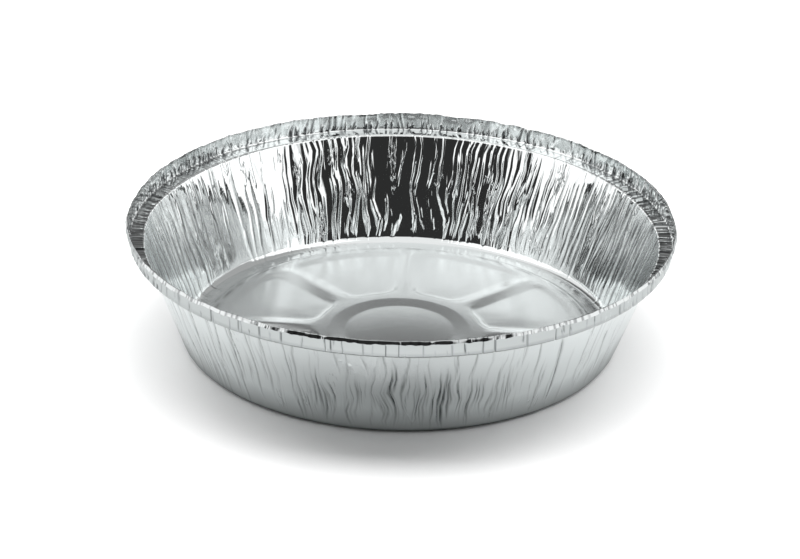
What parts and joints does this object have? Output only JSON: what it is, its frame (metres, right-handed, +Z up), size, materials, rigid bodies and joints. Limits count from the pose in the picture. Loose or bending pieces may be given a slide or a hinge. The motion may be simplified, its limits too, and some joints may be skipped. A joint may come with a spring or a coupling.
{
  "type": "foil pie tin",
  "caption": "Round pressed foil pie tin with pleated sloping wall, flat lid ledge, upright rolled flange and ribbed base with sunk panels.",
  "frame": {"origin": "centre of the table plane under the standing ring", "axes": "+Z up along the tin's axis, +X along one of the ridges of the pressed base"},
  "size_m": [0.182, 0.182, 0.0417],
  "materials": {
    "foil": "bright rolled foil, slightly satin"
  },
  "bodies": {
    "root": {"pie_tin": "foil"}
  },
  "joints": []
}
